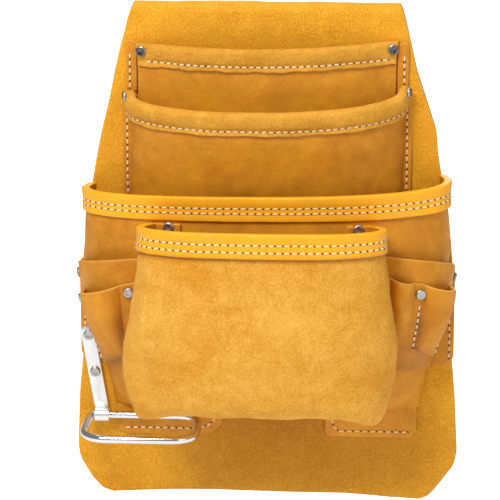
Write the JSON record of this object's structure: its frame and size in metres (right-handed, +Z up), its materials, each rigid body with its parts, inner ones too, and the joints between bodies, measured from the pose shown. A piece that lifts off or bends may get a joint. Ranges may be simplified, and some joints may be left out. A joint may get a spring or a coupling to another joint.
{
  "type": "carpenter nail apron",
  "caption": "Yellow hide nail and tool bag with layered pouches, pencil loops, a belt tunnel behind and a steel ring for a hammer.",
  "frame": {"origin": "middle of the belt tunnel, where a belt carries the bag", "axes": "+Z up, +X to the right as seen from the front, front pouch facing -Y"},
  "size_m": [0.248, 0.1069, 0.3275],
  "materials": {
    "smooth_hide": "golden yellow smooth-grain split hide with a soft gloss",
    "suede_hide": "golden yellow suede with a short nap",
    "rivet_nickel": "nickel-plated domed rivet heads",
    "plate_steel": "bright plated steel strip",
    "ring_chrome": "bright chromed wire"
  },
  "bodies": {
    "root": {"back_panel": "smooth_hide", "upper_rear_pocket": "smooth_hide", "upper_nail_pocket": "smooth_hide", "main_pouch": "smooth_hide", "left_tool_pocket": "smooth_hide", "right_tool_pocket": "smooth_hide", "left_pencil_pocket": "smooth_hide", "right_pencil_pocket": "smooth_hide", "front_pouch": "suede_hide", "upper_rear_rivet_left": "rivet_nickel", "upper_rear_rivet_right": "rivet_nickel", "upper_nail_rivet_left": "rivet_nickel", "upper_nail_rivet_right": "rivet_nickel", "front_pouch_rivet_left": "rivet_nickel", "front_pouch_rivet_right": "rivet_nickel", "tool_pocket_rivet_left": "rivet_nickel", "tool_pocket_rivet_right": "rivet_nickel", "pencil_rivet_left_inner": "rivet_nickel", "pencil_rivet_left_outer": "rivet_nickel", "pencil_rivet_right_inner": "rivet_nickel", "hammer_plate_rivet_1": "rivet_nickel", "hammer_plate_rivet_2": "rivet_nickel", "hammer_plate": "plate_steel", "hammer_ring": "ring_chrome"}
  },
  "joints": []
}
